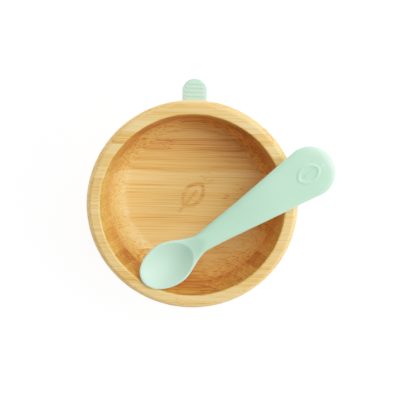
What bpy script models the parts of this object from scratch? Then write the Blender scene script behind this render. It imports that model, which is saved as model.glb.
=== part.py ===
"""Suction bowl for weaning: a turned bamboo bowl gripped by a silicone suction base
that has a pull tab, and a silicone spoon laid across the bowl's rim.

Metres, +Z up. The bowl's axis is vertical, and +Y points to the pull tab.
The origin is the bottom centre of the whole object's bounding box.
"""
import math

import bmesh
import bpy
from mathutils import Vector

MM = 0.001
GAP = 0.3 * MM                  # clearance between neighbouring solids
SEGMENTS = 72                   # steps round a turned piece

# Bamboo bowl. Heights are above the table, radii are from the bowl's axis.
RIM_Z = 54.0 * MM
RIM_RADIUS = 62.5 * MM          # widest point, a little under the rim
WIDEST_Z = 50.4 * MM
RIM_TOP_RADIUS = 59.6 * MM      # outer edge of the rim's flat top, where the shoulder starts
SHOULDER_START = 50             # degrees of its ellipse that the shoulder covers
MOUTH_RADIUS = 54.2 * MM
RIM_INNER_ROUND = 1.3 * MM
WALL_BASE_Z = 35.0 * MM         # where the steep wall turns into the floor's curve
WALL_BASE_RADIUS = 50.0 * MM
FLOOR_Z = 19.0 * MM
FLOOR_RADIUS = 39.2 * MM
UNDERSIDE_Z = 11.0 * MM
UNDERSIDE_RADIUS = 40.0 * MM
SIDE_BULGE = 0.52               # how full the outer side is, from cone 0 to barrel 1
FOOT_RADIUS = 34.0 * MM         # the spigot that the suction base grips
FOOT_Z = 7.0 * MM
EDGE_BREAK = 0.8 * MM           # small chamfer on the foot

# Silicone suction base: collar and membrane above, flared sealing skirt below
COLLAR_RADIUS = 38.0 * MM
COLLAR_ROUND = 1.2 * MM
COLLAR_BORE = FOOT_RADIUS + GAP
COLLAR_TOP_Z = UNDERSIDE_Z - GAP
MEMBRANE_TOP_Z = FOOT_Z - GAP
MEMBRANE_Z = 5.3 * MM
SKIRT_TOP_Z = MEMBRANE_Z - GAP
SKIRT_TOP_INNER = 34.5 * MM
SKIRT_TOP_OUTER = 37.6 * MM
LIP_INNER = 39.2 * MM
LIP_OUTER = 43.5 * MM
LIP_BULGE = 0.4 * MM
LIP_EDGE_Z = 1.3 * MM

# Pull tab
TAB_WIDTH = 15.4 * MM
TAB_TIP_Y = 70.5 * MM
TAB_Z = 0.8 * MM
TAB_THICKNESS = 2.2 * MM
TAB_EDGE = 0.6 * MM
TAB_ROOT_Y = LIP_OUTER + LIP_BULGE + GAP
RIB_PITCH = 2.5 * MM
RIB_COUNT = 5
RIB_WIDTH = 1.3 * MM
RIB_HEIGHT = 0.6 * MM
RIB_SINK = 0.3 * MM             # how far a rib's solid reaches into the tab
RIB_FIRST_Y = 67.8 * MM
RIB_SIDE_MARGIN = 1.6 * MM

# Spoon, in its own frame: +X runs from the tip to the handle's end, z = 0 is the rim plane
SPOON_LENGTH = 133.2 * MM
SPOON_TIP = (-28.6, -45.6)      # from the bowl's axis, millimetres
SPOON_TURN = 35.25              # degrees from +X to +Y
SCOOP_CENTRE = 19.0 * MM
SCOOP_HALF_WIDTH = 13.2 * MM
HOLLOW_CENTRE = 17.8 * MM
HOLLOW_HALF_LENGTH = 16.9 * MM
HOLLOW_HALF_WIDTH = 12.1 * MM
HOLLOW_DEPTH = 5.5 * MM
NECK = 42.5 * MM
NECK_HALF_WIDTH = 5.8 * MM
HANDLE_END_RADIUS = 15.3 * MM
HANDLE_LEVEL = 92.0 * MM        # from here the handle is level and rests on the rim
TAPER_POWER = 1.15
PARTING_TIP = 1.8 * MM          # height of the widest line over the rim plane
PARTING_NECK = 1.5 * MM
PARTING_HANDLE = 3.7 * MM
LIP_RISE = 0.9 * MM             # from the widest line up to the scoop's lip
CROWN = 3.3 * MM                # from the widest line up to the handle's top
SCOOP_DROP = 8.0 * MM           # from the widest line down to the scoop's underside
HANDLE_DROP = 3.3 * MM
END_ROUND = 4.6 * MM            # length over which the handle's end rounds off
TIP_ROUND = 17.0 * MM
STATIONS = 44
HALF_RING = 12                  # steps across the top, and as many across the bottom

BAMBOO = ("bamboo", (0.80, 0.52, 0.22), 0.42)
BASE_SILICONE = ("mint_silicone_base", (0.60, 0.82, 0.68), 0.5)
SPOON_SILICONE = ("mint_silicone_spoon", (0.53, 0.78, 0.62), 0.5)


def clear_scene():
    for existing in list(bpy.data.objects):
        bpy.data.objects.remove(existing, do_unlink=True)


def make_material(name, colour, roughness):
    material = bpy.data.materials.new(name)
    material.use_nodes = True
    shader = material.node_tree.nodes["Principled BSDF"]
    shader.inputs["Base Color"].default_value = (*colour, 1.0)
    shader.inputs["Roughness"].default_value = roughness
    shader.inputs["Metallic"].default_value = 0.0
    return material


def make_object(name, bm, material, parent=None):
    """Put a finished bmesh into the scene as one object."""
    bmesh.ops.recalc_face_normals(bm, faces=bm.faces)
    mesh = bpy.data.meshes.new(name)
    bm.to_mesh(mesh)
    bm.free()
    mesh.shade_smooth()
    mesh.set_sharp_from_angle(angle=math.radians(35))
    mesh.materials.append(material)
    piece = bpy.data.objects.new(name, mesh)
    piece.parent = parent
    bpy.context.scene.collection.objects.link(piece)
    return piece


def ellipse_arc(centre_r, centre_z, across, up, start, end, steps):
    """Points (r, z) on an ellipse from angle start to angle end, in degrees."""
    points = []
    for step in range(steps + 1):
        angle = math.radians(start + (end - start) * step / steps)
        points.append((centre_r + across * math.cos(angle), centre_z + up * math.sin(angle)))
    return points


def quadratic(start, middle, end, steps):
    """Points on the curve that leaves start towards middle and arrives at end."""
    points = []
    for step in range(steps + 1):
        t = step / steps
        weights = ((1 - t) ** 2, 2 * t * (1 - t), t ** 2)
        r = weights[0] * start[0] + weights[1] * middle[0] + weights[2] * end[0]
        z = weights[0] * start[1] + weights[1] * middle[1] + weights[2] * end[1]
        points.append((r, z))
    return points


def turned(name, profile, material, parent, closed=False):
    """Turn a profile of (r, z) points about the bowl's axis."""
    bm = bmesh.new()
    verts = [bm.verts.new((r, 0.0, z)) for r, z in profile]
    edges = [bm.edges.new(pair) for pair in zip(verts, verts[1:])]
    if closed:
        edges.append(bm.edges.new((verts[-1], verts[0])))
    bmesh.ops.spin(
        bm, geom=verts + edges, cent=(0, 0, 0), axis=(0, 0, 1),
        angle=math.tau, steps=SEGMENTS, use_merge=True,
    )
    bmesh.ops.remove_doubles(bm, verts=bm.verts, dist=1e-6)
    return make_object(name, bm, material, parent)


def bowl_profile():
    """From the floor's centre up the inside, over the rim and down to the foot's centre."""
    inside = ellipse_arc(
        FLOOR_RADIUS, WALL_BASE_Z,
        WALL_BASE_RADIUS - FLOOR_RADIUS, WALL_BASE_Z - FLOOR_Z, -90, 0, 8,
    )
    inner_edge = ellipse_arc(
        MOUTH_RADIUS + RIM_INNER_ROUND, RIM_Z - RIM_INNER_ROUND,
        RIM_INNER_ROUND, RIM_INNER_ROUND, 180, 90, 3,
    )
    start = math.radians(SHOULDER_START)
    across = (RIM_RADIUS - RIM_TOP_RADIUS) / (1 - math.cos(start))
    up = (RIM_Z - WIDEST_Z) / math.sin(start)
    shoulder = ellipse_arc(RIM_RADIUS - across, WIDEST_Z, across, up, SHOULDER_START, 0, 6)
    low = (UNDERSIDE_RADIUS, UNDERSIDE_Z)
    corner = (
        UNDERSIDE_RADIUS + (RIM_RADIUS - UNDERSIDE_RADIUS) * (0.5 + SIDE_BULGE / 2),
        UNDERSIDE_Z + (WIDEST_Z - UNDERSIDE_Z) * (0.5 - SIDE_BULGE / 2),
    )
    side = quadratic((RIM_RADIUS, WIDEST_Z), corner, low, 9)
    foot = [
        (FOOT_RADIUS, UNDERSIDE_Z),
        (FOOT_RADIUS, FOOT_Z + EDGE_BREAK),
        (FOOT_RADIUS - EDGE_BREAK, FOOT_Z),
        (0.0, FOOT_Z),
    ]
    return [(0.0, FLOOR_Z)] + inside + inner_edge + shoulder + side[1:] + foot


def collar_profile():
    """The cup that grips the foot, with the membrane as its floor."""
    top = ellipse_arc(
        COLLAR_RADIUS - COLLAR_ROUND, COLLAR_TOP_Z - COLLAR_ROUND,
        COLLAR_ROUND, COLLAR_ROUND, 90, 0, 3,
    )
    return (
        [(0.0, MEMBRANE_TOP_Z), (COLLAR_BORE, MEMBRANE_TOP_Z), (COLLAR_BORE, COLLAR_TOP_Z)]
        + top
        + [(COLLAR_RADIUS, MEMBRANE_Z), (0.0, MEMBRANE_Z)]
    )


def skirt_profile():
    """The flared skirt: a hollow ring that ends in a flat sealing lip on the table."""
    return [
        (SKIRT_TOP_INNER, SKIRT_TOP_Z),
        (SKIRT_TOP_OUTER, SKIRT_TOP_Z),
        (SKIRT_TOP_OUTER + 1.6 * MM, SKIRT_TOP_Z - 2.4 * MM),
        (LIP_OUTER, LIP_EDGE_Z),
        (LIP_OUTER + LIP_BULGE, LIP_EDGE_Z / 2),
        (LIP_OUTER, 0.0),
        (LIP_INNER, 0.0),
        (SKIRT_TOP_INNER + 2.0 * MM, SKIRT_TOP_Z - 2.8 * MM),
    ]


def rounded_bar(bm, outline, low, high, edge):
    """Extrude a flat outline from low to high, and round its top edge."""
    verts = [bm.verts.new((x, y, low)) for x, y in outline]
    base = bm.faces.new(verts)
    grown = bmesh.ops.extrude_face_region(bm, geom=[base])
    top_verts = [item for item in grown["geom"] if isinstance(item, bmesh.types.BMVert)]
    bmesh.ops.translate(bm, verts=top_verts, vec=(0, 0, high - low))
    top_edges = [
        item for item in bm.edges
        if all(vert.co.z > high - 1e-7 for vert in item.verts)
    ]
    bmesh.ops.bevel(bm, geom=top_edges, offset=edge, segments=2, profile=0.5, affect="EDGES")


def tab_outline(root_y, tip_y, half_width, steps):
    """A strip with a half-round end, seen from above."""
    centre_y = tip_y - half_width
    points = [(-half_width, root_y), (half_width, root_y)]
    for step in range(steps + 1):
        angle = math.pi * step / steps
        points.append((half_width * math.cos(angle), centre_y + half_width * math.sin(angle)))
    return points


def rib_half_length(rib_y):
    """Half of a rib's length, which follows the tab's round end."""
    half = TAB_WIDTH / 2
    past_centre = max(0.0, rib_y - (TAB_TIP_Y - half))
    return max(math.sqrt(half ** 2 - past_centre ** 2) - RIB_SIDE_MARGIN, 2.4 * MM)


def rib_outline(rib_y, steps):
    """A pill shape across the tab."""
    radius = RIB_WIDTH / 2
    reach = rib_half_length(rib_y) - radius
    points = []
    for side in (1, -1):
        for step in range(steps + 1):
            angle = side * math.pi / 2 - math.pi * step / steps
            points.append((side * reach + radius * math.cos(angle), rib_y + radius * math.sin(angle)))
    return points[::-1]


def build_tab(material, parent):
    """The pull tab, whose origin is on its flex line at the skirt's lip."""
    bm = bmesh.new()
    hinge_z = TAB_Z + TAB_THICKNESS / 2
    outline = tab_outline(0.0, TAB_TIP_Y - TAB_ROOT_Y, TAB_WIDTH / 2, 16)
    rounded_bar(bm, outline, TAB_Z - hinge_z, TAB_Z + TAB_THICKNESS - hinge_z, TAB_EDGE)
    tab = make_object("pull_tab", bm, material, parent)
    tab.location = (0.0, TAB_ROOT_Y, hinge_z)
    for index in range(RIB_COUNT):
        rib_y = RIB_FIRST_Y - index * RIB_PITCH
        rib_bm = bmesh.new()
        top = TAB_THICKNESS / 2
        outline = [(x, y - TAB_ROOT_Y) for x, y in rib_outline(rib_y, 4)]
        rounded_bar(rib_bm, outline, top - RIB_SINK, top + RIB_HEIGHT, RIB_HEIGHT / 2)
        rib = make_object(f"rib_guide_{index + 1}", rib_bm, material, tab)
        rib.hide_render = True
        rib.display_type = "WIRE"
        union = tab.modifiers.new(f"rib_{index + 1}", "BOOLEAN")
        union.operation = "UNION"
        union.object = rib
    return tab


def ease(value, start, end):
    """0 before start, 1 after end, smooth between."""
    t = min(max((value - start) / (end - start), 0.0), 1.0)
    return t * t * (3 - 2 * t)


def spoon_half_width(s):
    """Half of the spoon's width at distance s from its tip."""
    end_centre = SPOON_LENGTH - HANDLE_END_RADIUS
    if s <= SCOOP_CENTRE:
        return SCOOP_HALF_WIDTH * math.sqrt(max(0.0, 1 - (1 - s / SCOOP_CENTRE) ** 2))
    if s <= NECK:
        swing = math.cos(math.pi * (s - SCOOP_CENTRE) / (NECK - SCOOP_CENTRE))
        return NECK_HALF_WIDTH + (SCOOP_HALF_WIDTH - NECK_HALF_WIDTH) * (1 + swing) / 2
    along = (s - NECK) / (end_centre - NECK)
    taper = NECK_HALF_WIDTH + (HANDLE_END_RADIUS - NECK_HALF_WIDTH) * along ** TAPER_POWER
    if s <= end_centre:
        return taper
    return math.sqrt(max(0.0, HANDLE_END_RADIUS ** 2 - (s - end_centre) ** 2))


def end_factor(s):
    """Thickness near the handle's end, as a share of the full thickness."""
    past = max(0.0, (s - (SPOON_LENGTH - END_ROUND)) / END_ROUND)
    return math.sqrt(max(0.0, 1 - past ** 2))


def spoon_section(s):
    """The spoon's parting height, rise above it and drop below it at distance s."""
    on_handle = ease(s, 33 * MM, 46 * MM)
    levelled = ease(s, NECK, HANDLE_LEVEL)
    parting = PARTING_TIP + (PARTING_NECK - PARTING_TIP) * ease(s, 0, NECK)
    parting += (PARTING_HANDLE - PARTING_NECK) * levelled
    rise = LIP_RISE * ease(s, -1 * MM, 3 * MM)
    rise += (CROWN - LIP_RISE) * on_handle
    nose = math.sqrt(max(0.0, 1 - max(0.0, 1 - s / TIP_ROUND) ** 2))
    drop = SCOOP_DROP * nose
    drop += (HANDLE_DROP + 1.0 * MM - SCOOP_DROP) * ease(s, 20 * MM, 46 * MM)
    drop -= 1.0 * MM * levelled
    return parting, rise * end_factor(s), drop * end_factor(s)


def hollow_depth(s, across):
    """Depth of the scoop's hollow at a point in plan."""
    along = (s - HOLLOW_CENTRE) / HOLLOW_HALF_LENGTH
    spread = along ** 2 + (across / HOLLOW_HALF_WIDTH) ** 2
    return HOLLOW_DEPTH * max(0.0, 1 - spread)


def spoon_ring(s):
    """One closed cross-section of the spoon: over the top, then back underneath."""
    half = spoon_half_width(s)
    parting, rise, drop = spoon_section(s)
    flatness = 4.0 - 1.9 * ease(s, 33 * MM, 46 * MM)
    points = []
    for step in range(2 * HALF_RING):
        angle = math.pi * step / HALF_RING
        v = math.cos(angle)
        if step <= HALF_RING:
            height = rise * (1 - abs(v) ** flatness) ** (1 / flatness)
            height -= hollow_depth(s, half * v)
        else:
            height = -drop * (1 - abs(v) ** 2.2) ** (1 / 2.2)
        points.append((s, half * v, parting + height))
    return points


def build_spoon(material, parent):
    """Loft the spoon from its tip to the handle's end."""
    bm = bmesh.new()
    rings = []
    for index in range(1, STATIONS):
        s = SPOON_LENGTH * (1 - math.cos(math.pi * index / STATIONS)) / 2
        rings.append([bm.verts.new(point) for point in spoon_ring(s)])
    tip = bm.verts.new((0.0, 0.0, spoon_section(0.0)[0]))
    end = bm.verts.new((SPOON_LENGTH, 0.0, spoon_section(SPOON_LENGTH)[0]))
    count = 2 * HALF_RING
    for ring, following in zip(rings, rings[1:]):
        for index in range(count):
            other = (index + 1) % count
            bm.faces.new((ring[index], ring[other], following[other], following[index]))
    for index in range(count):
        other = (index + 1) % count
        bm.faces.new((rings[0][other], rings[0][index], tip))
        bm.faces.new((rings[-1][index], rings[-1][other], end))
    spoon = make_object("feeding_spoon", bm, material, parent)
    spoon.location = (SPOON_TIP[0] * MM, SPOON_TIP[1] * MM, RIM_Z)
    spoon.rotation_euler = (0.0, 0.0, math.radians(SPOON_TURN))
    return spoon


def centre_on_bounding_box(root, pieces):
    """Move the whole object so that its bounding box stands centred on the origin."""
    bpy.context.view_layer.update()
    corners = []
    for piece in pieces:
        corners += [piece.matrix_world @ vert.co for vert in piece.data.vertices]
    low = Vector(min(corner[axis] for corner in corners) for axis in range(3))
    high = Vector(max(corner[axis] for corner in corners) for axis in range(3))
    root.location = (-(low.x + high.x) / 2, -(low.y + high.y) / 2, -low.z)
    bpy.context.view_layer.update()


def build():
    clear_scene()
    bamboo = make_material(*BAMBOO)
    base_silicone = make_material(*BASE_SILICONE)
    spoon_silicone = make_material(*SPOON_SILICONE)
    root = bpy.data.objects.new("suction_bowl", None)
    bpy.context.scene.collection.objects.link(root)
    pieces = [
        turned("bamboo_bowl", bowl_profile(), bamboo, root),
        turned("suction_collar", collar_profile(), base_silicone, root),
        turned("suction_skirt", skirt_profile(), base_silicone, root, closed=True),
        build_tab(base_silicone, root),
        build_spoon(spoon_silicone, root),
    ]
    centre_on_bounding_box(root, pieces)


build()
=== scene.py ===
"""Looks of the suction bowl: turned bamboo, matte mint silicone, a plain white studio."""
import math

import bpy
import numpy as np
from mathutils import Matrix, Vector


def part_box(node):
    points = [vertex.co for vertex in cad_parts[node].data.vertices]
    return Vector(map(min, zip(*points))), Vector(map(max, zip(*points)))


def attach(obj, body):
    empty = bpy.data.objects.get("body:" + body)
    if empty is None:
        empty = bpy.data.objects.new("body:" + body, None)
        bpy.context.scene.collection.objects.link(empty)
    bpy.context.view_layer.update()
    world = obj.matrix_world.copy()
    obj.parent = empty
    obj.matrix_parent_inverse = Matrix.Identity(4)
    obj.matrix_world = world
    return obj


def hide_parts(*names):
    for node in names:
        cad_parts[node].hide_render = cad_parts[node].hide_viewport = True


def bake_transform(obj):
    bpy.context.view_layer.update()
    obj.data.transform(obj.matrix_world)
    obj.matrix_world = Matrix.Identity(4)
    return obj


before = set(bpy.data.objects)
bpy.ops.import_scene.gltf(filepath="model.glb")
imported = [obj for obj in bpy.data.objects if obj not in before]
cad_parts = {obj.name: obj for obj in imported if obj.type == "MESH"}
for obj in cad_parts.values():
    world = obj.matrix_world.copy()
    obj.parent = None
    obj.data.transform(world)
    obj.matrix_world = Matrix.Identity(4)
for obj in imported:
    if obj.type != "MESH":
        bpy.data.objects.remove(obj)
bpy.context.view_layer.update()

MM = 0.001
SAME_POINT = 1e-7               # points closer than this are one point
SHARP_ANGLE = math.radians(40)

# Places that come from the frame
BOWL_LOW, BOWL_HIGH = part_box("bamboo_bowl")
AXIS_X = (BOWL_LOW[0] + BOWL_HIGH[0]) / 2
AXIS_Y = (BOWL_LOW[1] + BOWL_HIGH[1]) / 2
RIM_Z = BOWL_HIGH[2]
RIM_RADIUS = (BOWL_HIGH[0] - BOWL_LOW[0]) / 2
FOOT_Z = BOWL_LOW[2]
TAB_TIP_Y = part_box("pull_tab")[1][1] - AXIS_Y

# Bowl: radii from its axis and heights above the table
MOUTH_RADIUS = 54.2 * MM
RIM_INNER_ROUND = 1.3 * MM
WIDEST_Z = 50.4 * MM
RIM_TOP_RADIUS = 59.6 * MM      # outer edge of the rim's flat top, where the shoulder starts
SHOULDER_START = 50             # degrees of its ellipse that the shoulder covers
RIM_CORNER = 0.15 * MM          # the slightly worn edge between the two
WALL_BASE_Z = 35.0 * MM
WALL_BASE_RADIUS = 50.0 * MM
FLOOR_Z = 19.0 * MM
FLOOR_RADIUS = 39.2 * MM
UNDERSIDE_Z = 11.0 * MM
UNDERSIDE_RADIUS = 40.0 * MM
SIDE_BULGE = 0.52
FOOT_RADIUS = 34.0 * MM
FOOT_EDGE = 0.8 * MM
BOWL_STEPS = 320                # steps round the bowl

# Marks: a plain leaf, engraved in the bowl's floor and raised on the spoon's handle.
# Lengths and widths are halves, and shares are of the stroke.
LEAF_STEM_SHARE = 1.6
LEAF_THIN_SHARE = 0.12          # how much thinner the midrib is than the outline
LEAF_EDGE_SHARES = (0.36, 0.56) # where a line starts to fade, and where it ends
LEAF_RIB_REACH = 0.35           # how far the midrib goes past the middle, as a share of the length
FLOOR_MARK_LENGTH = 8.8 * MM
FLOOR_MARK_WIDTH = 5.4 * MM
FLOOR_MARK_REACH = 13 * MM      # the floor's mesh is finer out to here
FLOOR_MARK_FLAT = 0.01 * MM     # points this close to the floor's height belong to it
FLOOR_MARK_STROKE = 2.4 * MM
FLOOR_MARK_DEPTH = 0.35 * MM
FLOOR_MARK_TURN = math.radians(52)
HANDLE_MARK_CENTRE = 117.0 * MM
HANDLE_MARK_LENGTH = 6.8 * MM
HANDLE_MARK_WIDTH = 4.7 * MM
HANDLE_MARK_STROKE = 1.6 * MM
HANDLE_MARK_HEIGHT = 0.4 * MM

# Suction base
COLLAR_RADIUS = 38.0 * MM
COLLAR_BORE = 34.3 * MM
COLLAR_TOP_Z = 10.95 * MM
COLLAR_EDGE = 1.2 * MM
COLLAR_WAIST = (37.5 * MM, 7 * MM)  # radius and height, as in the next three
COLLAR_BASE = (37.7 * MM, 5 * MM)
SKIRT_PULL = (38.9 * MM, 1.9 * MM)  # what the skirt's outer and inner faces curve towards
CHAMBER_PULL = (37.2 * MM, 3.2 * MM)
MEMBRANE_TOP_Z = 6.7 * MM
MEMBRANE_Z = 5.3 * MM
MEMBRANE_RADIUS = 33.6 * MM
RIDGE_RADII = (28 * MM, 20 * MM, 12 * MM)
RIDGE_DEPTH = 0.35 * MM
RIDGE_HALF_WIDTHS = (0.2 * MM, 0.7 * MM)  # at its crest and at its foot
LIP_INNER = 39.2 * MM
LIP_OUTER = 43.9 * MM
LIP_ROUND = 0.6 * MM
LIP_MIDDLE_Z = 0.63 * MM
LIP_HALF_THICKNESS = 0.62 * MM
BASE_STEPS = 240                # steps round the base

# Pull tab
TAB_HALF_WIDTH = 7.7 * MM
TAB_Z = 0.8 * MM
TAB_THICKNESS = 2.2 * MM
TAB_ROOT_Y = 37.9 * MM
TAB_FLARE = 2.6 * MM            # extra half width at the root, which fades out between these two
TAB_FLARE_START = 41 * MM
TAB_FLARE_END = 49 * MM
TAB_EDGE = 0.8 * MM
TAB_ROWS = 190
TAB_COLUMNS = 96
RIB_PITCH = 2.5 * MM
RIB_COUNT = 5
RIB_FIRST_Y = 67.8 * MM
RIB_HALF_WIDTH = 0.75 * MM
RIB_HEIGHT = 0.6 * MM
RIB_SIDE_MARGIN = 1.6 * MM
RIB_ROUNDNESS = 0.35            # power of a rib's cross-section
GROOVE_SHADE_FADE = (1.4 * MM, 3.0 * MM)  # distances from the tab's side where the painted shade between the ribs sets in

# Spoon, in its own frame: s runs from the tip to the handle's end
SPOON_LENGTH = 133.2 * MM
SPOON_TIP = (-28.6 * MM, -45.6 * MM)
SPOON_TURN = math.radians(35.25)
SCOOP_CENTRE = 19.0 * MM
SCOOP_HALF_WIDTH = 13.2 * MM
HOLLOW_CENTRE = 17.8 * MM
HOLLOW_HALF_LENGTH = 16.9 * MM
HOLLOW_HALF_WIDTH = 12.1 * MM
HOLLOW_DEPTH = 5.5 * MM
NECK = 42.5 * MM
NECK_HALF_WIDTH = 5.8 * MM
HANDLE_END_RADIUS = 15.3 * MM
HANDLE_LEVEL = 92.0 * MM
TAPER_POWER = 1.15
PARTING_TIP = 1.8 * MM
PARTING_NECK = 1.5 * MM
PARTING_HANDLE = 3.7 * MM
LIP_RISE = 0.9 * MM
CROWN = 3.3 * MM
SCOOP_DROP = 8.0 * MM
HANDLE_DROP = 3.3 * MM
HANDLE_THINNING = 1.0 * MM      # how much the underside rises again along the handle
END_ROUND = 4.6 * MM
TIP_ROUND = 17.0 * MM
HANDLE_STARTS = (33 * MM, 46 * MM)  # the scoop's section turns into the handle's between these
SCOOP_FLATNESS = 4.0            # power of the section's curve over the scoop's lip
HANDLE_FLATNESS = 2.1           # over the handle's crown
UNDER_FLATNESS = 2.2            # and underneath
THIN_SCOOP = (28 * MM, 42 * MM) # the scoop's moulding is thinner before this stretch, and the light shining through it is painted in as a paler colour
THIN_END = (SPOON_LENGTH - 11 * MM, SPOON_LENGTH - 1 * MM)
THIN_END_SHARE = 0.9            # how much painted glow the handle's end gets, against the scoop's 1
LIP_STARTS = (-1 * MM, 3 * MM)
DROP_FADE = (20 * MM, 46 * MM)  # the scoop's depth turns into the handle's between these
SPOON_STATIONS = 330
SPOON_HALF_RING = 72
SPOON_RING = 2 * SPOON_HALF_RING

# Camera: 11 degrees off vertical, towards the pull tab
CAMERA_DISTANCE = 700 * MM
CAMERA_TILT = math.radians(11)
CAMERA_TURN = math.radians(1.2) # about the bowl's axis
CAMERA_PIXELS_PER_METRE = 1702  # at the rim, in a picture 400 wide
CAMERA_SIDE = 4.56 * MM         # the bowl stands a little left of the picture's centre
CAMERA_UP = 3.85 * MM           # and a little below it
PICTURE_WIDTH = 400

# Studio: round lights as name, azimuth and elevation in degrees, distance, size and power
SOFTBOXES = [
    ("side_softbox", 0, 36, 1.2, 0.90, 11.4),
    ("back_softbox", 62, 55, 1.2, 0.95, 11.4),
]
HORIZON_LIGHT = 1.7
OVERHEAD_LIGHT = 0.16
HORIZON_FADE = 0.3              # height on a unit sphere where the light from overhead takes over
FLOOR_HALF_SIZE = 3.0
FLOOR_GLOW = 1.38
WHITE_LEVEL = 1.8               # the scene light that the picture shows as white
TONE_CURVE = [(0.15, 0.155), (0.40, 0.40), (0.80, 0.675), (1.20, 0.86), (1.50, 0.955)]

# Bamboo, in millimetres
WALL_HEIGHTS = (32.0, 37.0)     # the inside wall starts here
WALL_TOP_HEIGHTS = (40.0, 48.0)
RIM_DEPTHS = (1.6, 0.3)         # the rim starts so far under its top
STRIP_WIDTH = 7.0               # across one glued strip
STRIP_LAYER = 19.0              # from one layer of strips to the next
LAYER_SHIFT = 3.8               # so that a joint lies just under the rim's top face
LAYER_STAGGER = 3.1             # from one layer's joints to the next one's
STRIP_SLIDE = 900.0             # strips take their fibres from places up to so far apart
OUTER_STRIPS = (24.0, 37.0)     # distances of strips from the bowl's middle, past which painted shade darkens them low in the bowl
KNUCKLE_SPREAD = 190.0          # each strip has one knuckle somewhere along this length
KNUCKLE_REACH = 6.5
INSIDE_CONE = 0.31              # the bowl's inside lies in a cone that widens so much with height
INSIDE_RADII = (41.0, 42.0)     # the cone's radius at the table, and where the outside takes over
INSIDE_HEIGHTS = (16.5, 18.0)   # between the underside and the floor
BAMBOO_BASE_TONE = 0.185        # 0 is the palest tone below and 1 the darkest
BAMBOO_TONES = [
    (0.00, (0.935, 0.630, 0.268)),
    (0.35, (0.860, 0.480, 0.145)),
    (0.65, (0.670, 0.272, 0.055)),
    (1.00, (0.360, 0.100, 0.015)),
]
WALL_TOP_LIGHT_TINT = (0.94, 1.02, 0.88)  # painted light from the bright studio on the top of the inside wall

# Silicone: palest colour, deepest colour, and a shift so that no two share a pattern
BASE_SILICONE = ((0.54, 0.82, 0.70), (0.44, 0.74, 0.60), 31.0)
SPOON_SILICONE = ((0.56, 0.85, 0.65), (0.385, 0.765, 0.50), 7.0)

BOARD_TONES = [(0.0, (0.43,) * 3), (1.0, (0.47,) * 3)]
WHITE = (1.0, 1.0, 1.0, 1.0)


# ---------------------------------------------------------------- mesh helpers


def ease(value, start, end):
    """0 before start, 1 after end, smooth between; works on numbers and arrays."""
    t = np.clip((value - start) / (end - start), 0.0, 1.0)
    return t * t * (3 - 2 * t)


def new_piece(name, points, faces, material):
    """Make a smooth mesh object from points and faces."""
    mesh = bpy.data.meshes.new(name)
    mesh.from_pydata([tuple(point) for point in points], [], faces)
    mesh.validate()
    mesh.shade_smooth()
    mesh.set_sharp_from_angle(angle=SHARP_ANGLE)
    mesh.materials.append(material)
    piece = bpy.data.objects.new(name, mesh)
    bpy.context.scene.collection.objects.link(piece)
    return piece


def paint(piece, name, values):
    """Give each point of a piece a value that its material reads by name."""
    layer = piece.data.attributes.new(name, "FLOAT", "POINT")
    layer.data.foreach_set("value", values.astype(np.float32))


def ellipse_arc(centre_r, centre_z, across, up, start, end, steps):
    """Points of a profile along an ellipse, from start to end in degrees."""
    angles = np.radians(np.linspace(start, end, steps + 1))
    return [(centre_r + across * math.cos(a), centre_z + up * math.sin(a)) for a in angles]


def quadratic(start, middle, end, steps):
    """Points of a profile along a curve that is pulled towards its middle point."""
    points = []
    for t in np.linspace(0, 1, steps + 1):
        a, b, c = (1 - t) ** 2, 2 * t * (1 - t), t ** 2
        points.append(tuple(a * start[k] + b * middle[k] + c * end[k] for k in (0, 1)))
    return points


def straight(start, end, steps):
    """Points of a profile along a straight line."""
    return [
        (start[0] + (end[0] - start[0]) * t, start[1] + (end[1] - start[1]) * t)
        for t in np.linspace(0, 1, steps + 1)
    ]


def joined(*stretches):
    """Join stretches of a profile, and leave out points that repeat."""
    points = []
    for stretch in stretches:
        for point in stretch:
            if not points or math.dist(point, points[-1]) > SAME_POINT:
                points.append(point)
    return points


def turned_mesh(profile, steps):
    """Points and faces of a profile turned about the bowl's axis; both its ends lie on the axis."""
    angles = np.linspace(0, math.tau, steps, endpoint=False)
    points = [(AXIS_X, AXIS_Y, profile[0][1])]
    for r, z in profile[1:-1]:
        points += [(AXIS_X + r * math.cos(a), AXIS_Y + r * math.sin(a), z) for a in angles]
    points.append((AXIS_X, AXIS_Y, profile[-1][1]))
    last = len(points) - 1
    rings = len(profile) - 2
    faces = []
    for index in range(steps):
        other = (index + 1) % steps
        faces.append((0, 1 + index, 1 + other))
        for ring in range(rings - 1):
            low = 1 + ring * steps
            high = low + steps
            faces.append((low + index, high + index, high + other, low + other))
        low = 1 + (rings - 1) * steps
        faces.append((low + other, low + index, last))
    return np.array(points), faces


# ---------------------------------------------------------------- leaf mark


def leaf_lines(along, across, half_length, half_width, stroke):
    """1 on the lines of a plain leaf, 0 off them: an outline, a midrib and a short stem."""
    radius = (half_length ** 2 + half_width ** 2) / (2 * half_width)
    offset = radius - half_width
    upper = np.hypot(along, across + offset) - radius
    lower = np.hypot(along, across - offset) - radius
    outline = np.abs(np.maximum(upper, lower))
    rib_start = -half_length - LEAF_STEM_SHARE * stroke
    rib_end = LEAF_RIB_REACH * half_length
    rib_along = np.clip(along, rib_start, rib_end)
    midrib = np.hypot(along - rib_along, across) + LEAF_THIN_SHARE * stroke
    distance = np.minimum(outline, midrib)
    return 1 - ease(distance / stroke, *LEAF_EDGE_SHARES)


# ---------------------------------------------------------------- shader graph helper


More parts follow.
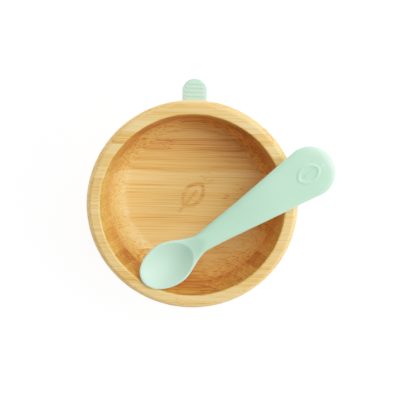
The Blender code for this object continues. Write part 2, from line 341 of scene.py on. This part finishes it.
class Graph:
    """A short way to write a material's nodes."""

    def __init__(self, name):
        self.material = bpy.data.materials.new(name)
        self.material.use_nodes = True
        self.nodes = self.material.node_tree.nodes
        self.links = self.material.node_tree.links
        self.shader = self.nodes["Principled BSDF"]

    def put(self, socket, value):
        """Link a node's output to a socket, or set the socket's own value."""
        if isinstance(value, bpy.types.NodeSocket):
            self.links.new(value, socket)
        else:
            socket.default_value = value

    def node(self, kind, inputs=(), **settings):
        made = self.nodes.new(kind)
        for name, value in settings.items():
            setattr(made, name, value)
        for name, value in dict(inputs).items():
            self.put(made.inputs[name], value)
        return made

    def math(self, operation, first, second=0.0):
        made = self.node("ShaderNodeMath", operation=operation)
        self.put(made.inputs[0], first)
        self.put(made.inputs[1], second)
        return made.outputs[0]

    def add(self, *terms):
        total = terms[0]
        for term in terms[1:]:
            total = self.math("ADD", total, term)
        return total

    def times(self, first, second):
        return self.math("MULTIPLY", first, second)

    def centred(self, value, amount):
        """A 0 to 1 value as a swing of plus or minus half of amount."""
        return self.times(self.math("SUBTRACT", value, 0.5), amount)

    def ramp(self, value, low, high, start=0.0, end=1.0):
        """Start where value is low, end where it is high, smooth between."""
        made = self.node("ShaderNodeMapRange", interpolation_type="SMOOTHSTEP")
        for name, number in zip(
            ("Value", "From Min", "From Max", "To Min", "To Max"), (value, low, high, start, end)
        ):
            self.put(made.inputs[name], number)
        return made.outputs[0]

    def millimetres(self):
        """Position in the object's own frame, in millimetres, as three sockets."""
        place = self.node("ShaderNodeTexCoord").outputs["Object"]
        parts = self.node("ShaderNodeSeparateXYZ", {"Vector": place})
        return [self.times(parts.outputs[axis], 1 / MM) for axis in range(3)]

    def vector(self, x, y, z):
        return self.node("ShaderNodeCombineXYZ", {"X": x, "Y": y, "Z": z}).outputs[0]

    def stretched(self, place, scale):
        """A position with each axis scaled on its own."""
        return self.vector(*[self.times(part, size) for part, size in zip(place, scale)])

    def noise(self, vector, scale=1.0, detail=2.0, roughness=0.5):
        inputs = {"Vector": vector, "Scale": scale, "Detail": detail, "Roughness": roughness}
        return self.node("ShaderNodeTexNoise", inputs).outputs["Fac"]

    def cells(self, vector, scale=1.0, randomness=1.0):
        """Distance to the nearest of many scattered points."""
        inputs = {"Vector": vector, "Scale": scale, "Randomness": randomness}
        return self.node("ShaderNodeTexVoronoi", inputs).outputs["Distance"]

    def colours(self, value, stops):
        """A colour for each value, from a list of (position, colour)."""
        made = self.node("ShaderNodeValToRGB", {"Fac": value})
        elements = made.color_ramp.elements
        while len(elements) < len(stops):
            elements.new(0.5)
        for element, (position, colour) in zip(elements, stops):
            element.position = position
            element.color = (*colour, 1.0)
        return made.outputs["Color"]

    def tinted(self, colour, tint, amount):
        """A colour multiplied by a tint, as far as amount says."""
        mix = self.node("ShaderNodeMix", data_type="RGBA", blend_type="MULTIPLY")
        for index, value in ((0, amount), (6, colour), (7, (*tint, 1.0))):
            self.put(mix.inputs[index], value)
        return mix.outputs[2]

    def bump(self, height, distance, strength=1.0):
        inputs = {"Height": height, "Distance": distance, "Strength": strength}
        return self.node("ShaderNodeBump", inputs).outputs["Normal"]

    def attribute(self, name):
        return self.node("ShaderNodeAttribute", attribute_name=name).outputs["Fac"]

    def surface(self, **values):
        """Fill the shader's sockets; a name's underscores stand for spaces."""
        for name, value in values.items():
            self.put(self.shader.inputs[name.replace("_", " ")], value)


# ---------------------------------------------------------------- materials


def bamboo_material():
    """Glued bamboo strips along X: lines where the fibres lie, dots where they end."""
    g = Graph("bamboo")
    x, y, z = g.millimetres()

    # Where on the bowl: its steep faces inside and outside, its wall, and its rim
    normal = g.node("ShaderNodeTexCoord").outputs["Normal"]
    facing = g.node("ShaderNodeSeparateXYZ", {"Vector": normal})
    steep = g.ramp(g.math("ABSOLUTE", facing.outputs["Z"]), 0.25, 1.0, 1.0, 0.0)
    radius = g.node(
        "ShaderNodeVectorMath",
        {0: g.vector(g.math("SUBTRACT", x, AXIS_X / MM), g.math("SUBTRACT", y, AXIS_Y / MM), 0.0)},
        operation="LENGTH",
    ).outputs["Value"]
    inside = g.ramp(g.add(radius, g.times(z, -INSIDE_CONE)), *INSIDE_RADII, 1.0, 0.0)
    inside = g.times(inside, g.ramp(z, *INSIDE_HEIGHTS))
    outside = g.times(steep, g.math("SUBTRACT", 1.0, inside))
    steep = g.times(steep, inside)
    wall = g.times(steep, g.ramp(z, *WALL_HEIGHTS))
    wall_top_light = g.times(wall, g.ramp(z, *WALL_TOP_HEIGHTS))
    rim = g.ramp(z, *[RIM_Z / MM - depth for depth in RIM_DEPTHS])

    # The strips: each has its own tone, and its own place along its length
    waver = g.noise(g.stretched((x, y, z), (0.012, 0.05, 0.05)), detail=1.0)
    y_bent = g.add(y, g.centred(waver, 2.4))
    layer = g.math("FLOOR", g.math("DIVIDE", g.add(z, LAYER_SHIFT), STRIP_LAYER))
    across = g.math("DIVIDE", g.add(y_bent, g.times(layer, LAYER_STAGGER)), STRIP_WIDTH)
    strip = g.math("FLOOR", across)
    chance = g.node(
        "ShaderNodeTexWhiteNoise", {"Vector": g.vector(strip, layer, 4.0)}, noise_dimensions="3D"
    )
    strip_tone = chance.outputs["Value"]
    # strips far from the bowl's middle, which get painted shade low down
    strip_y = g.add(g.times(strip, STRIP_WIDTH), 0.5 * STRIP_WIDTH - AXIS_Y / MM)
    outer_strip_shade = g.ramp(g.math("ABSOLUTE", strip_y), *OUTER_STRIPS)
    chances = g.node("ShaderNodeSeparateColor", {"Color": chance.outputs["Color"]})
    strip_shift = g.times(chances.outputs[0], STRIP_SLIDE)
    glue = g.math("ABSOLUTE", g.math("SUBTRACT", g.math("FRACT", across), 0.5))
    glue = g.ramp(glue, 0.470, 0.494)

    # A knuckle, where the fibres wander and short dark dashes lie
    knuckle = g.math("SUBTRACT", x, g.centred(chances.outputs[1], KNUCKLE_SPREAD))
    near_knuckle = g.ramp(g.math("ABSOLUTE", knuckle), 0.0, KNUCKLE_REACH, 1.0, 0.0)
    dashes = g.noise(g.stretched((x, y, z), (0.35, 1.5, 1.5)), detail=2.0)
    dashes = g.times(g.ramp(dashes, 0.50, 0.66), near_knuckle)
    wiggle = g.noise(g.vector(x, y, z), scale=0.35, detail=1.0)
    y_fibre = g.add(y_bent, g.times(near_knuckle, g.centred(wiggle, 4.0)))

    # The fibres: lines along the strips, and dots with pale pith between where they end
    fibre = (g.add(x, strip_shift), y_fibre, z)
    fine = g.noise(g.stretched(fibre, (0.030, 1.7, 1.7)), detail=3.0, roughness=0.6)
    line = g.noise(g.stretched(fibre, (0.009, 1.05, 1.05)), detail=1.0)
    broad = g.noise(g.stretched(fibre, (0.008, 0.42, 0.42)), detail=2.0)
    hair = g.noise(g.stretched(fibre, (0.006, 0.50, 0.50)), detail=1.0)
    hair = g.ramp(g.math("ABSOLUTE", g.math("SUBTRACT", hair, 0.5)), 0.0, 0.020, 1.0, 0.0)
    cell = g.cells(g.stretched(fibre, (0.004, 0.86, 0.86)), randomness=0.62)
    bundle = g.ramp(cell, 0.12, 0.44, 1.0, 0.0)
    pith = g.ramp(cell, 0.45, 0.75)
    dotted = g.math("SUBTRACT", steep, g.times(wall, 0.75))
    streak = g.noise(g.stretched(fibre, (0.014, 1.15, 1.15)), detail=2.0, roughness=0.55)
    streak = g.ramp(streak, 0.58, 0.72)

    # What each of them adds to the tone
    burn = g.attribute("burn")
    tone = g.add(
        BAMBOO_BASE_TONE,
        g.centred(strip_tone, 0.30),
        # painted shade: strips far from the middle are darker below the wall, in the coves at the
        # bowl's two ends along Y
        g.times(outer_strip_shade, g.ramp(z, 30.0, 44.0, 0.19, 0.0)),
        g.centred(fine, 0.68),
        g.centred(broad, 0.40),
        g.ramp(line, 0.54, 0.68, 0.0, 0.17),
        g.ramp(line, 0.46, 0.32, 0.0, -0.08),
        g.times(hair, g.add(0.19, g.times(steep, -0.10))),
        g.times(bundle, g.add(0.12, g.times(dotted, 0.38))),
        g.times(pith, g.times(dotted, -0.16)),
        g.times(streak, 0.24),
        g.times(glue, 0.16),
        g.times(dashes, 0.34),
        # painted shade: the inside's steep faces, its coves and wall, are darker than its floor
        g.times(steep, 0.145),
        # painted shade: the outside's steep side is darker, most of all lower down
        g.times(outside, g.ramp(z, 40.0, 52.0, 0.12, 0.02)),
        # painted shade: the inside wall is darker again
        g.times(wall, 0.31),
        # painted light: the top of the inside wall, which sees the bright studio, is paler
        g.times(wall_top_light, -0.04),
        g.times(rim, -0.03),
        g.times(burn, 0.21),
    )
    turning = g.noise(g.vector(radius, z, 0.0), scale=1.7, detail=2.0)
    height = g.add(
        g.times(fine, 0.6), g.times(bundle, -0.35), g.times(streak, -0.3), g.times(glue, -0.4),
        g.times(turning, 0.25),
    )
    g.surface(
        # painted light: the top of the inside wall is tinted as if lit by the bright studio
        Base_Color=g.tinted(g.colours(tone, BAMBOO_TONES), WALL_TOP_LIGHT_TINT, wall_top_light),
        Roughness=g.add(0.46, g.centred(fine, 0.20), g.times(bundle, 0.06), g.times(burn, 0.15)),
        Normal=g.bump(height, 0.06 * MM, 0.8),
        Specular_IOR_Level=0.35, Coat_Weight=0.05, Coat_Roughness=0.35,
    )
    return g.material


def silicone_material(name, pale, deep, seed):
    """Matte silicone: fine moulded grain and a little dust, with painted shade in its grooves and a
    paler painted glow where light shines through it.
    """
    g = Graph(name)
    x, y, z = g.millimetres()
    place = g.vector(x, y, g.add(z, seed))
    cloud = g.noise(place, scale=0.035, detail=2.0)
    grain = g.noise(place, scale=4.2, detail=2.0, roughness=0.6)
    flow = g.noise(place, scale=0.22, detail=3.0)
    dust = g.ramp(g.cells(place, scale=0.30), 0.035, 0.06, 1.0, 0.0)
    tone = g.add(0.45, g.centred(cloud, 0.5), g.centred(flow, 0.22), g.centred(grain, 0.10))
    # painted shade: the silicone is darker between the tab's ribs
    groove_shade = g.times(g.attribute("groove_shade"), 0.9)
    # painted glow: paler where light shines through the thinner silicone
    tone = g.add(tone, g.times(dust, -0.25), groove_shade, g.times(g.attribute("thin_glow"), -0.55))
    g.surface(
        Base_Color=g.colours(tone, [(0.0, pale), (1.0, deep)]),
        Roughness=g.add(0.50, g.centred(flow, 0.16), g.centred(grain, 0.10), g.times(dust, 0.2)),
        Normal=g.bump(g.add(grain, g.times(flow, 0.8)), 0.03 * MM, 0.7),
        Subsurface_Weight=0.22, Subsurface_Radius=(0.9, 1.0, 0.95), Subsurface_Scale=2.5 * MM,
        Specular_IOR_Level=0.35, Sheen_Weight=0.12, Sheen_Roughness=0.5,
    )
    return g.material


def studio_floor_material():
    """Plain pale board that glows, so that its shadows stay faint."""
    g = Graph("studio_floor")
    x, y, z = g.millimetres()
    tooth = g.noise(g.vector(x, y, z), scale=0.4, detail=3.0)
    g.surface(
        Base_Color=g.colours(tooth, BOARD_TONES),
        Roughness=g.ramp(tooth, 0.0, 1.0, 0.85, 0.95),
        Normal=g.bump(tooth, 0.05 * MM, 0.3),
        Emission_Color=WHITE, Emission_Strength=FLOOR_GLOW, Specular_IOR_Level=0.1,
    )
    return g.material


# ---------------------------------------------------------------- bamboo bowl


def bowl_profile():
    """From the floor's centre up the inside, over the rim and down to the foot's centre."""
    floor = joined(
        straight((0, FLOOR_Z), (FLOOR_MARK_REACH, FLOOR_Z), 52),
        straight((FLOOR_MARK_REACH, FLOOR_Z), (FLOOR_RADIUS, FLOOR_Z), 18),
    )
    cove = ellipse_arc(
        FLOOR_RADIUS, WALL_BASE_Z,
        WALL_BASE_RADIUS - FLOOR_RADIUS, WALL_BASE_Z - FLOOR_Z, -90, 0, 26,
    )
    wall = straight(cove[-1], (MOUTH_RADIUS, RIM_Z - RIM_INNER_ROUND), 14)
    inner_edge = ellipse_arc(
        MOUTH_RADIUS + RIM_INNER_ROUND, RIM_Z - RIM_INNER_ROUND,
        RIM_INNER_ROUND, RIM_INNER_ROUND, 180, 90, 7,
    )
    start = math.radians(SHOULDER_START)
    across = (RIM_RADIUS - RIM_TOP_RADIUS) / (1 - math.cos(start))
    up = (RIM_Z - WIDEST_Z) / math.sin(start)
    shoulder = ellipse_arc(RIM_RADIUS - across, WIDEST_Z, across, up, SHOULDER_START, 0, 22)
    worn_edge = quadratic((RIM_TOP_RADIUS - RIM_CORNER, RIM_Z), shoulder[0], shoulder[1], 4)
    rim = straight(inner_edge[-1], worn_edge[0], 14)
    low = (UNDERSIDE_RADIUS, UNDERSIDE_Z)
    corner = (
        low[0] + (RIM_RADIUS - low[0]) * (0.5 + SIDE_BULGE / 2),
        low[1] + (WIDEST_Z - low[1]) * (0.5 - SIDE_BULGE / 2),
    )
    side = quadratic(shoulder[-1], corner, low, 30)
    underside = straight(low, (FOOT_RADIUS, UNDERSIDE_Z), 4)
    foot = joined(
        straight((FOOT_RADIUS, UNDERSIDE_Z), (FOOT_RADIUS, FOOT_Z + FOOT_EDGE), 4),
        ellipse_arc(FOOT_RADIUS - FOOT_EDGE, FOOT_Z + FOOT_EDGE, FOOT_EDGE, FOOT_EDGE, 0, -90, 5),
        straight((FOOT_RADIUS - FOOT_EDGE, FOOT_Z), (0, FOOT_Z), 12),
    )
    return joined(floor, cove, wall, inner_edge, rim, worn_edge, shoulder[1:], side, underside, foot)


def build_bowl(material):
    """The turned bowl, with the leaf engraved and lightly burnt into its floor."""
    points, faces = turned_mesh(bowl_profile(), BOWL_STEPS)
    x, y = points[:, 0] - AXIS_X, points[:, 1] - AXIS_Y
    along = x * math.cos(FLOOR_MARK_TURN) + y * math.sin(FLOOR_MARK_TURN)
    across = y * math.cos(FLOOR_MARK_TURN) - x * math.sin(FLOOR_MARK_TURN)
    lines = leaf_lines(along, across, FLOOR_MARK_LENGTH, FLOOR_MARK_WIDTH, FLOOR_MARK_STROKE)
    lines[np.abs(points[:, 2] - FLOOR_Z) > FLOOR_MARK_FLAT] = 0.0
    points[:, 2] -= FLOOR_MARK_DEPTH * lines
    bowl = new_piece("turned_bowl", points, faces, material)
    paint(bowl, "burn", lines)
    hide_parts("bamboo_bowl")
    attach(bowl, "bowl")


# ---------------------------------------------------------------- suction base


def base_profile():
    """From the socket's centre over the collar, down the skirt and back under the membrane."""
    socket = joined(
        straight((0, MEMBRANE_TOP_Z), (COLLAR_BORE, MEMBRANE_TOP_Z), 10),
        straight((COLLAR_BORE, MEMBRANE_TOP_Z), (COLLAR_BORE, COLLAR_TOP_Z), 5),
    )
    collar = joined(
        straight((COLLAR_BORE, COLLAR_TOP_Z), (COLLAR_RADIUS - COLLAR_EDGE, COLLAR_TOP_Z), 3),
        ellipse_arc(
            COLLAR_RADIUS - COLLAR_EDGE, COLLAR_TOP_Z - COLLAR_EDGE, COLLAR_EDGE, COLLAR_EDGE, 90, 0, 8,
        ),
        quadratic((COLLAR_RADIUS, COLLAR_TOP_Z - COLLAR_EDGE), COLLAR_WAIST, COLLAR_BASE, 8),
    )
    lip_r = LIP_OUTER - LIP_ROUND
    lip_top = LIP_MIDDLE_Z + LIP_HALF_THICKNESS
    skirt = quadratic(collar[-1], SKIRT_PULL, (lip_r, lip_top), 14)
    lip = joined(
        ellipse_arc(lip_r, LIP_MIDDLE_Z, LIP_ROUND, LIP_HALF_THICKNESS, 90, -90, 10),
        straight((lip_r, 0.0), (LIP_INNER, 0.0), 5),
    )
    chamber = quadratic((LIP_INNER, 0.0), CHAMBER_PULL, (MEMBRANE_RADIUS, MEMBRANE_Z), 12)
    ceiling = []
    for r in np.linspace(MEMBRANE_RADIUS, 0, 100):
        ridge = sum(1 - ease(abs(r - ring), *RIDGE_HALF_WIDTHS) for ring in RIDGE_RADII)
        ceiling.append((r, MEMBRANE_Z - RIDGE_DEPTH * ridge))
    return joined(socket, collar, skirt, lip, chamber, ceiling)


def build_base(material):
    """The suction base as one fixed moulding, though the real one squashes between its lip and its
    collar.
    """
    points, faces = turned_mesh(base_profile(), BASE_STEPS)
    base = new_piece("suction_base", points, faces, material)
    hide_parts("suction_skirt", "suction_collar")
    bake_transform(base)


# ---------------------------------------------------------------- pull tab


def tab_half_width(y):
    """Half of the tab's width, flared at its root and half-round at its tip."""
    past = np.clip(y - (TAB_TIP_Y - TAB_HALF_WIDTH), 0, TAB_HALF_WIDTH)
    flare = TAB_FLARE * (1 - ease(y, TAB_FLARE_START, TAB_FLARE_END)) ** 2
    return np.sqrt(np.maximum(TAB_HALF_WIDTH ** 2 - past ** 2, 0)) + flare


def rib_heights(x, y):
    """Height of the pill-shaped finger ribs over the tab's flat top."""
    height = np.zeros_like(x)
    for index in range(RIB_COUNT):
        rib_y = RIB_FIRST_Y - index * RIB_PITCH
        reach = tab_half_width(rib_y) - RIB_SIDE_MARGIN - RIB_HALF_WIDTH
        nearest = np.clip(x, -reach, reach)
        distance = np.hypot(x - nearest, y - rib_y)
        height += RIB_HEIGHT * np.clip(1 - (distance / RIB_HALF_WIDTH) ** 2, 0, 1) ** RIB_ROUNDNESS
    return height


def build_tab(material):
    """The pull tab: a rounded strip with finger ribs, moulded onto the lip."""
    share = np.linspace(0, 1, TAB_ROWS + 1)
    length = TAB_TIP_Y - TAB_ROOT_Y
    y_rows = TAB_ROOT_Y + length * np.sin(share * math.pi / 2)
    v = -np.cos(np.linspace(0, math.pi, TAB_COLUMNS + 1))
    y = np.repeat(y_rows[:, None], TAB_COLUMNS + 1, axis=1)
    half = tab_half_width(y)
    x = half * v[None, :]
    centre_y = TAB_TIP_Y - TAB_HALF_WIDTH
    round_end = TAB_HALF_WIDTH - np.hypot(x, np.maximum(y - centre_y, 0))
    inset = np.where(y > centre_y, round_end, half - np.abs(x))
    curve = 1 - np.clip(inset / TAB_EDGE, 0, 1)
    edge = TAB_EDGE * (1 - np.sqrt(np.clip(1 - curve ** 2, 0, 1)))
    top = TAB_Z + TAB_THICKNESS - edge + rib_heights(x, y)
    bottom = TAB_Z + edge
    mid = TAB_Z + TAB_THICKNESS / 2
    border = inset < SAME_POINT
    top[border] = mid
    bottom[border] = mid
    points, faces = stitched_sheets(x + AXIS_X, y + AXIS_Y, top, bottom)
    tab = new_piece("pull_tab_moulding", points, faces, material)
    shade_grooves(tab)
    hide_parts("pull_tab")
    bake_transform(tab)


def shade_grooves(tab):
    """Paint shade on the top between the ribs, to darken the silicone there."""
    points = np.array([vertex.co[:] for vertex in tab.data.vertices])
    x, y = points[:, 0] - AXIS_X, points[:, 1] - AXIS_Y
    low = 1 - np.clip(rib_heights(x, y) / (0.75 * RIB_HEIGHT), 0, 1)
    last_rib = RIB_FIRST_Y - (RIB_COUNT - 1) * RIB_PITCH
    among = ease(y, last_rib - RIB_PITCH, last_rib)
    among *= 1 - ease(y, RIB_FIRST_Y, RIB_FIRST_Y + RIB_PITCH)
    inner = ease(TAB_HALF_WIDTH - np.abs(x), *GROOVE_SHADE_FADE)
    paint(tab, "groove_shade", low * among * inner)


def stitched_sheets(x, y, top, bottom):
    """Close a top and a bottom sheet into one body; they share their side and tip edges."""
    rows, columns = x.shape
    upper = np.stack([x, y, top], axis=-1).reshape(-1, 3)
    lower = np.stack([x, y, bottom], axis=-1).reshape(-1, 3)
    points = [tuple(point) for point in upper]
    upper_index = np.arange(rows * columns).reshape(rows, columns)
    lower_index = upper_index.copy()
    upper_index[-1, :] = upper_index[-1, 0]
    lower_index[-1, :] = upper_index[-1, 0]
    for row in range(rows - 1):
        for column in range(1, columns - 1):
            lower_index[row, column] = len(points)
            points.append(tuple(lower[row * columns + column]))
    faces = []
    for row in range(rows - 1):
        for column in range(columns - 1):
            corners = ((row, column), (row, column + 1), (row + 1, column + 1), (row + 1, column))
            faces.append([int(upper_index[corner]) for corner in corners])
            faces.append([int(lower_index[corner]) for corner in corners][::-1])
    faces.append(
        [int(i) for i in lower_index[0, :]] + [int(i) for i in upper_index[0, 1:-1][::-1]]
    )
    used = sorted({index for face in faces for index in face})
    renumber = {old: new for new, old in enumerate(used)}
    tidy_faces = []
    for face in faces:
        loop = []
        for index in face:
            number = renumber[index]
            if number not in loop:
                loop.append(number)
        if len(loop) > 2:
            tidy_faces.append(loop)
    return [points[index] for index in used], tidy_faces


# ---------------------------------------------------------------- spoon


def spoon_half_width(s):
    """Half of the spoon's width at distance s from its tip."""
    end_centre = SPOON_LENGTH - HANDLE_END_RADIUS
    if s <= SCOOP_CENTRE:
        return SCOOP_HALF_WIDTH * math.sqrt(max(0.0, 1 - (1 - s / SCOOP_CENTRE) ** 2))
    if s <= NECK:
        swing = math.cos(math.pi * (s - SCOOP_CENTRE) / (NECK - SCOOP_CENTRE))
        return NECK_HALF_WIDTH + (SCOOP_HALF_WIDTH - NECK_HALF_WIDTH) * (1 + swing) / 2
    if s <= end_centre:
        along = (s - NECK) / (end_centre - NECK)
        return NECK_HALF_WIDTH + (HANDLE_END_RADIUS - NECK_HALF_WIDTH) * along ** TAPER_POWER
    return math.sqrt(max(0.0, HANDLE_END_RADIUS ** 2 - (s - end_centre) ** 2))


def spoon_section(s):
    """The spoon's parting height, rise above it and drop below it at distance s."""
    on_handle = ease(s, *HANDLE_STARTS)
    levelled = ease(s, NECK, HANDLE_LEVEL)
    parting = PARTING_TIP + (PARTING_NECK - PARTING_TIP) * ease(s, 0, NECK)
    parting += (PARTING_HANDLE - PARTING_NECK) * levelled
    rise = LIP_RISE * ease(s, *LIP_STARTS)
    rise += (CROWN - LIP_RISE) * on_handle
    nose = math.sqrt(max(0.0, 1 - max(0.0, 1 - s / TIP_ROUND) ** 2))
    drop = SCOOP_DROP * nose
    drop += (HANDLE_DROP + HANDLE_THINNING - SCOOP_DROP) * ease(s, *DROP_FADE)
    drop -= HANDLE_THINNING * levelled
    past = max(0.0, (s - (SPOON_LENGTH - END_ROUND)) / END_ROUND)
    end = math.sqrt(max(0.0, 1 - past ** 2))
    return parting, rise * end, drop * end


def hollow_depth(s, across):
    """Depth of the scoop's hollow at a point in plan."""
    along = (s - HOLLOW_CENTRE) / HOLLOW_HALF_LENGTH
    spread = along ** 2 + (across / HOLLOW_HALF_WIDTH) ** 2
    return HOLLOW_DEPTH * np.maximum(0.0, 1 - spread)


def spoon_ring(s):
    """One closed cross-section of the spoon: over the top, then back underneath."""
    half = spoon_half_width(s)
    parting, rise, drop = spoon_section(s)
    flatness = SCOOP_FLATNESS + (HANDLE_FLATNESS - SCOOP_FLATNESS) * ease(s, *HANDLE_STARTS)
    steps = np.arange(SPOON_RING)
    v = np.cos(np.pi * steps / SPOON_HALF_RING)
    over = steps <= SPOON_HALF_RING
    across = half * v
    top = rise * (1 - np.abs(v) ** flatness).clip(0) ** (1 / flatness)
    top -= hollow_depth(s, across)
    top += HANDLE_MARK_HEIGHT * leaf_lines(
        HANDLE_MARK_CENTRE - s, across,
        HANDLE_MARK_LENGTH, HANDLE_MARK_WIDTH, HANDLE_MARK_STROKE,
    )
    under = -drop * (1 - np.abs(v) ** UNDER_FLATNESS).clip(0) ** (1 / UNDER_FLATNESS)
    height = parting + np.where(over, top, under)
    return np.stack([np.full_like(v, s), across, height], axis=-1)


def placed_spoon(points):
    """From the spoon's own frame to the row frame."""
    cos, sin = math.cos(SPOON_TURN), math.sin(SPOON_TURN)
    x = AXIS_X + SPOON_TIP[0] + points[:, 0] * cos - points[:, 1] * sin
    y = AXIS_Y + SPOON_TIP[1] + points[:, 0] * sin + points[:, 1] * cos
    return np.stack([x, y, RIM_Z + points[:, 2]], axis=-1)


def build_spoon(material):
    """The spoon, lofted from its tip to the handle's end, with the leaf raised on the handle."""
    shares = np.arange(1, SPOON_STATIONS) / SPOON_STATIONS
    stations = SPOON_LENGTH * (1 - np.cos(math.pi * shares)) / 2
    rings = [spoon_ring(s) for s in stations]
    tip = np.array([[0.0, 0.0, spoon_section(0.0)[0]]])
    end = np.array([[SPOON_LENGTH, 0.0, spoon_section(SPOON_LENGTH)[0]]])
    points = placed_spoon(np.concatenate(rings + [tip, end]))
    tip_index = len(points) - 2
    end_index = len(points) - 1
    faces = []
    for ring in range(len(rings) - 1):
        low, high = ring * SPOON_RING, (ring + 1) * SPOON_RING
        for index in range(SPOON_RING):
            other = (index + 1) % SPOON_RING
            faces.append((low + other, low + index, high + index, high + other))
    last = (len(rings) - 1) * SPOON_RING
    for index in range(SPOON_RING):
        other = (index + 1) % SPOON_RING
        faces.append((index, other, tip_index))
        faces.append((last + other, last + index, end_index))
    spoon = new_piece("silicone_spoon", points, faces, material)
    # painted glow: the scoop and the handle's end are paler, for light shining through the thinner
    # silicone
    thin_glow = 1 - ease(stations, *THIN_SCOOP) + THIN_END_SHARE * ease(stations, *THIN_END)
    paint(spoon, "thin_glow", np.concatenate([np.repeat(thin_glow, SPOON_RING), [1.0, THIN_END_SHARE]]))
    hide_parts("feeding_spoon")
    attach(spoon, "spoon")


# ---------------------------------------------------------------- studio


def build_floor():
    half = FLOOR_HALF_SIZE
    corners = [(-half, -half, 0), (half, -half, 0), (half, half, 0), (-half, half, 0)]
    floor = new_piece("studio_floor", corners, [(0, 1, 2, 3)], studio_floor_material())


def aim(item, target):
    """Turn a light to face a point."""
    direction = np.array(target) - np.array(item.location)
    flat = math.hypot(direction[0], direction[1])
    item.rotation_euler = (
        math.atan2(flat, -direction[2]), 0.0, math.atan2(direction[1], direction[0]) - math.pi / 2
    )


def add_softbox(name, azimuth, elevation, distance, size, power):
    """A round area light that faces the rim's centre; azimuth is from +X towards +Y."""
    light = bpy.data.lights.new(name, "AREA")
    light.shape = "DISK"
    light.size = size
    light.energy = power
    lamp = bpy.data.objects.new(name, light)
    turn, lift = math.radians(azimuth), math.radians(elevation)
    lamp.location = (
        AXIS_X + distance * math.cos(lift) * math.cos(turn),
        AXIS_Y + distance * math.cos(lift) * math.sin(turn),
        RIM_Z + distance * math.sin(lift),
    )
    aim(lamp, (AXIS_X, AXIS_Y, RIM_Z))
    bpy.context.scene.collection.objects.link(lamp)


def build_lights():
    """The softboxes, and a world that is bright at its horizon and dim overhead."""
    for softbox in SOFTBOXES:
        add_softbox(*softbox)
    world = bpy.data.worlds.new("studio_world")
    world.use_nodes = True
    nodes, links = world.node_tree.nodes, world.node_tree.links
    direction = nodes.new("ShaderNodeTexCoord").outputs["Generated"]
    height = nodes.new("ShaderNodeSeparateXYZ")
    fade = nodes.new("ShaderNodeMapRange")
    fade.interpolation_type = "SMOOTHSTEP"
    fade.inputs["From Max"].default_value = HORIZON_FADE
    fade.inputs["To Min"].default_value = HORIZON_LIGHT
    fade.inputs["To Max"].default_value = OVERHEAD_LIGHT
    background = nodes["Background"]
    background.inputs["Color"].default_value = WHITE
    links.new(direction, height.inputs[0])
    links.new(height.outputs["Z"], fade.inputs["Value"])
    links.new(fade.outputs[0], background.inputs["Strength"])
    bpy.context.scene.world = world


def set_tones():
    """A camera's soft shoulder: it holds the lights back, and leaves the shades deep in colour."""
    view = bpy.context.scene.view_settings
    view.view_transform = "Standard"
    view.use_curve_mapping = True
    mapping = view.curve_mapping
    mapping.white_level = (WHITE_LEVEL,) * 3
    for light, level in TONE_CURVE:
        mapping.curves[3].points.new(light / WHITE_LEVEL, level)
    mapping.update()


def build_camera():
    """Above the bowl, tilted towards the pull tab, with +Y up in the picture."""
    data = bpy.data.cameras.new("camera")
    focal_pixels = CAMERA_PIXELS_PER_METRE * CAMERA_DISTANCE
    data.sensor_width = 36.0
    data.lens = data.sensor_width * focal_pixels / PICTURE_WIDTH
    data.clip_start = 0.05
    data.clip_end = 20.0
    camera = bpy.data.objects.new("camera", data)
    sin, cos = math.sin(CAMERA_TILT), math.cos(CAMERA_TILT)
    back = CAMERA_DISTANCE * sin + CAMERA_UP * cos
    camera.location = (
        AXIS_X + CAMERA_SIDE * math.cos(CAMERA_TURN) - back * math.sin(CAMERA_TURN),
        AXIS_Y + CAMERA_SIDE * math.sin(CAMERA_TURN) + back * math.cos(CAMERA_TURN),
        RIM_Z + CAMERA_DISTANCE * cos - CAMERA_UP * sin,
    )
    camera.rotation_euler = (-CAMERA_TILT, 0.0, CAMERA_TURN)
    bpy.context.scene.collection.objects.link(camera)
    bpy.context.scene.camera = camera


build_camera()
set_tones()
build_lights()
build_floor()
base_silicone = silicone_material("mint_silicone_base", *BASE_SILICONE)
spoon_silicone = silicone_material("mint_silicone_spoon", *SPOON_SILICONE)
build_bowl(bamboo_material())
build_base(base_silicone)
build_tab(base_silicone)
build_spoon(spoon_silicone)
